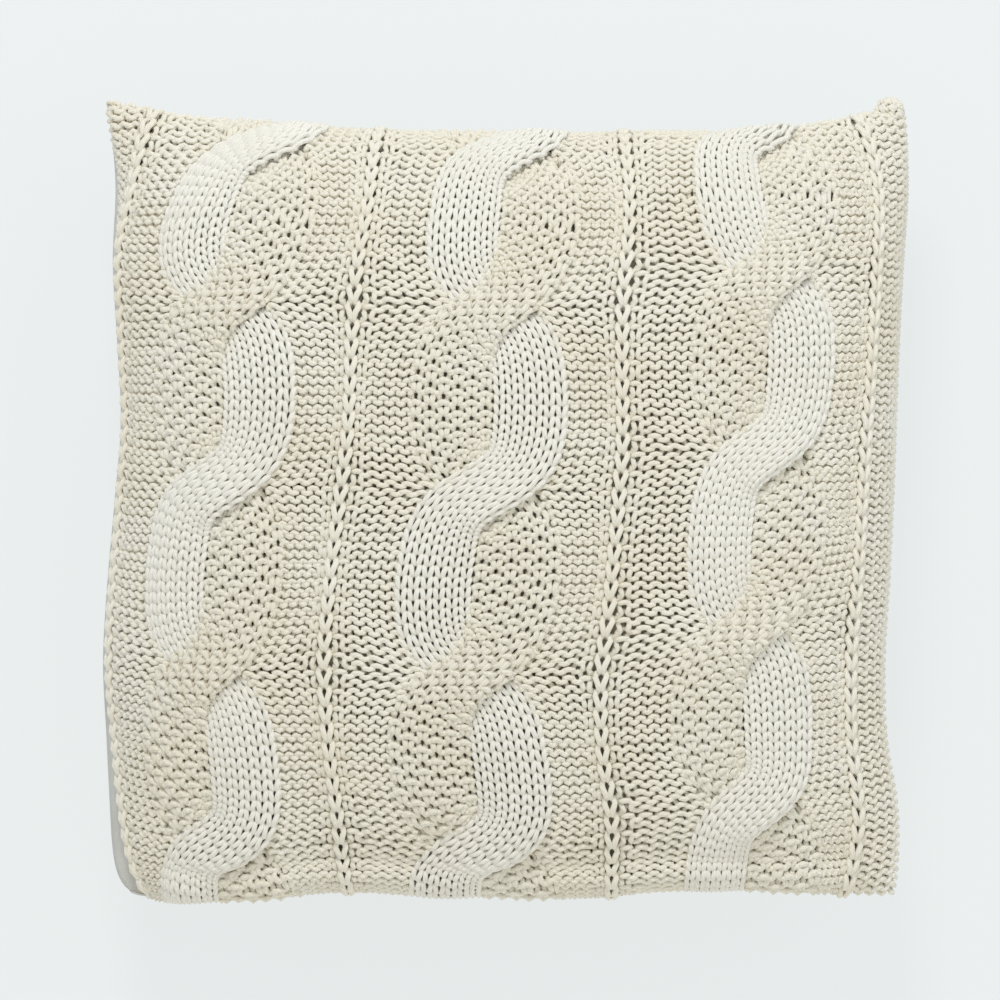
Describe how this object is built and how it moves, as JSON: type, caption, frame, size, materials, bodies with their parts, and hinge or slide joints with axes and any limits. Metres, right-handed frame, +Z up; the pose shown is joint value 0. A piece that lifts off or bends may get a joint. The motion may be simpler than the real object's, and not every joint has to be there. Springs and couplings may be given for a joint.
{
  "type": "throw pillow",
  "caption": "Square throw pillow with a cable-knit front, a plain woven back, a stuffed inner cushion and a concealed zip along its lower edge.",
  "frame": {"origin": "under the middle of the whole pillow, in the plane of its resting face", "axes": "+Z up out of the knitted front, +Y towards the upper edge, +X towards the right edge seen from the front"},
  "size_m": [0.45, 0.4533, 0.1502],
  "materials": {
    "knit": "matte",
    "woven": "matte",
    "inner_cotton": "matte",
    "filling": "matte",
    "zip_tape": "matte",
    "zip_coil": "satin",
    "zip_metal": "satin"
  },
  "bodies": {
    "pillow": {"front_panel": "knit", "back_panel": "woven", "edge_seam": "knit", "corner_knob_right": "knit", "corner_tip_left": "knit", "insert_front": "inner_cotton", "insert_back": "inner_cotton", "insert_seam": "inner_cotton", "insert_filling": "filling", "zip_tape_front": "zip_tape", "zip_tape_back": "zip_tape", "zip_coil_front": "zip_coil", "zip_coil_back": "zip_coil", "zip_thread_front": "inner_cotton", "zip_thread_back": "inner_cotton", "zip_top_stop_front": "zip_metal", "zip_top_stop_back": "zip_metal", "zip_bottom_stop": "zip_metal", "care_label": "inner_cotton"},
    "slider": {"zip_slider": "zip_metal"},
    "pull_tab": {"zip_pull": "zip_metal"}
  },
  "joints": [
    {"name": "zip_slide", "type": "slide", "parent": "pillow", "child": "slider", "axis": [-1, 0, 0], "range_m": [0, 0.3137]},
    {"name": "pull_tab_swing", "type": "hinge", "parent": "slider", "child": "pull_tab", "pos_m": [0.15685, -0.2195, 0.075], "axis": [0, 0, 1], "range_deg": [0, 180]}
  ]
}
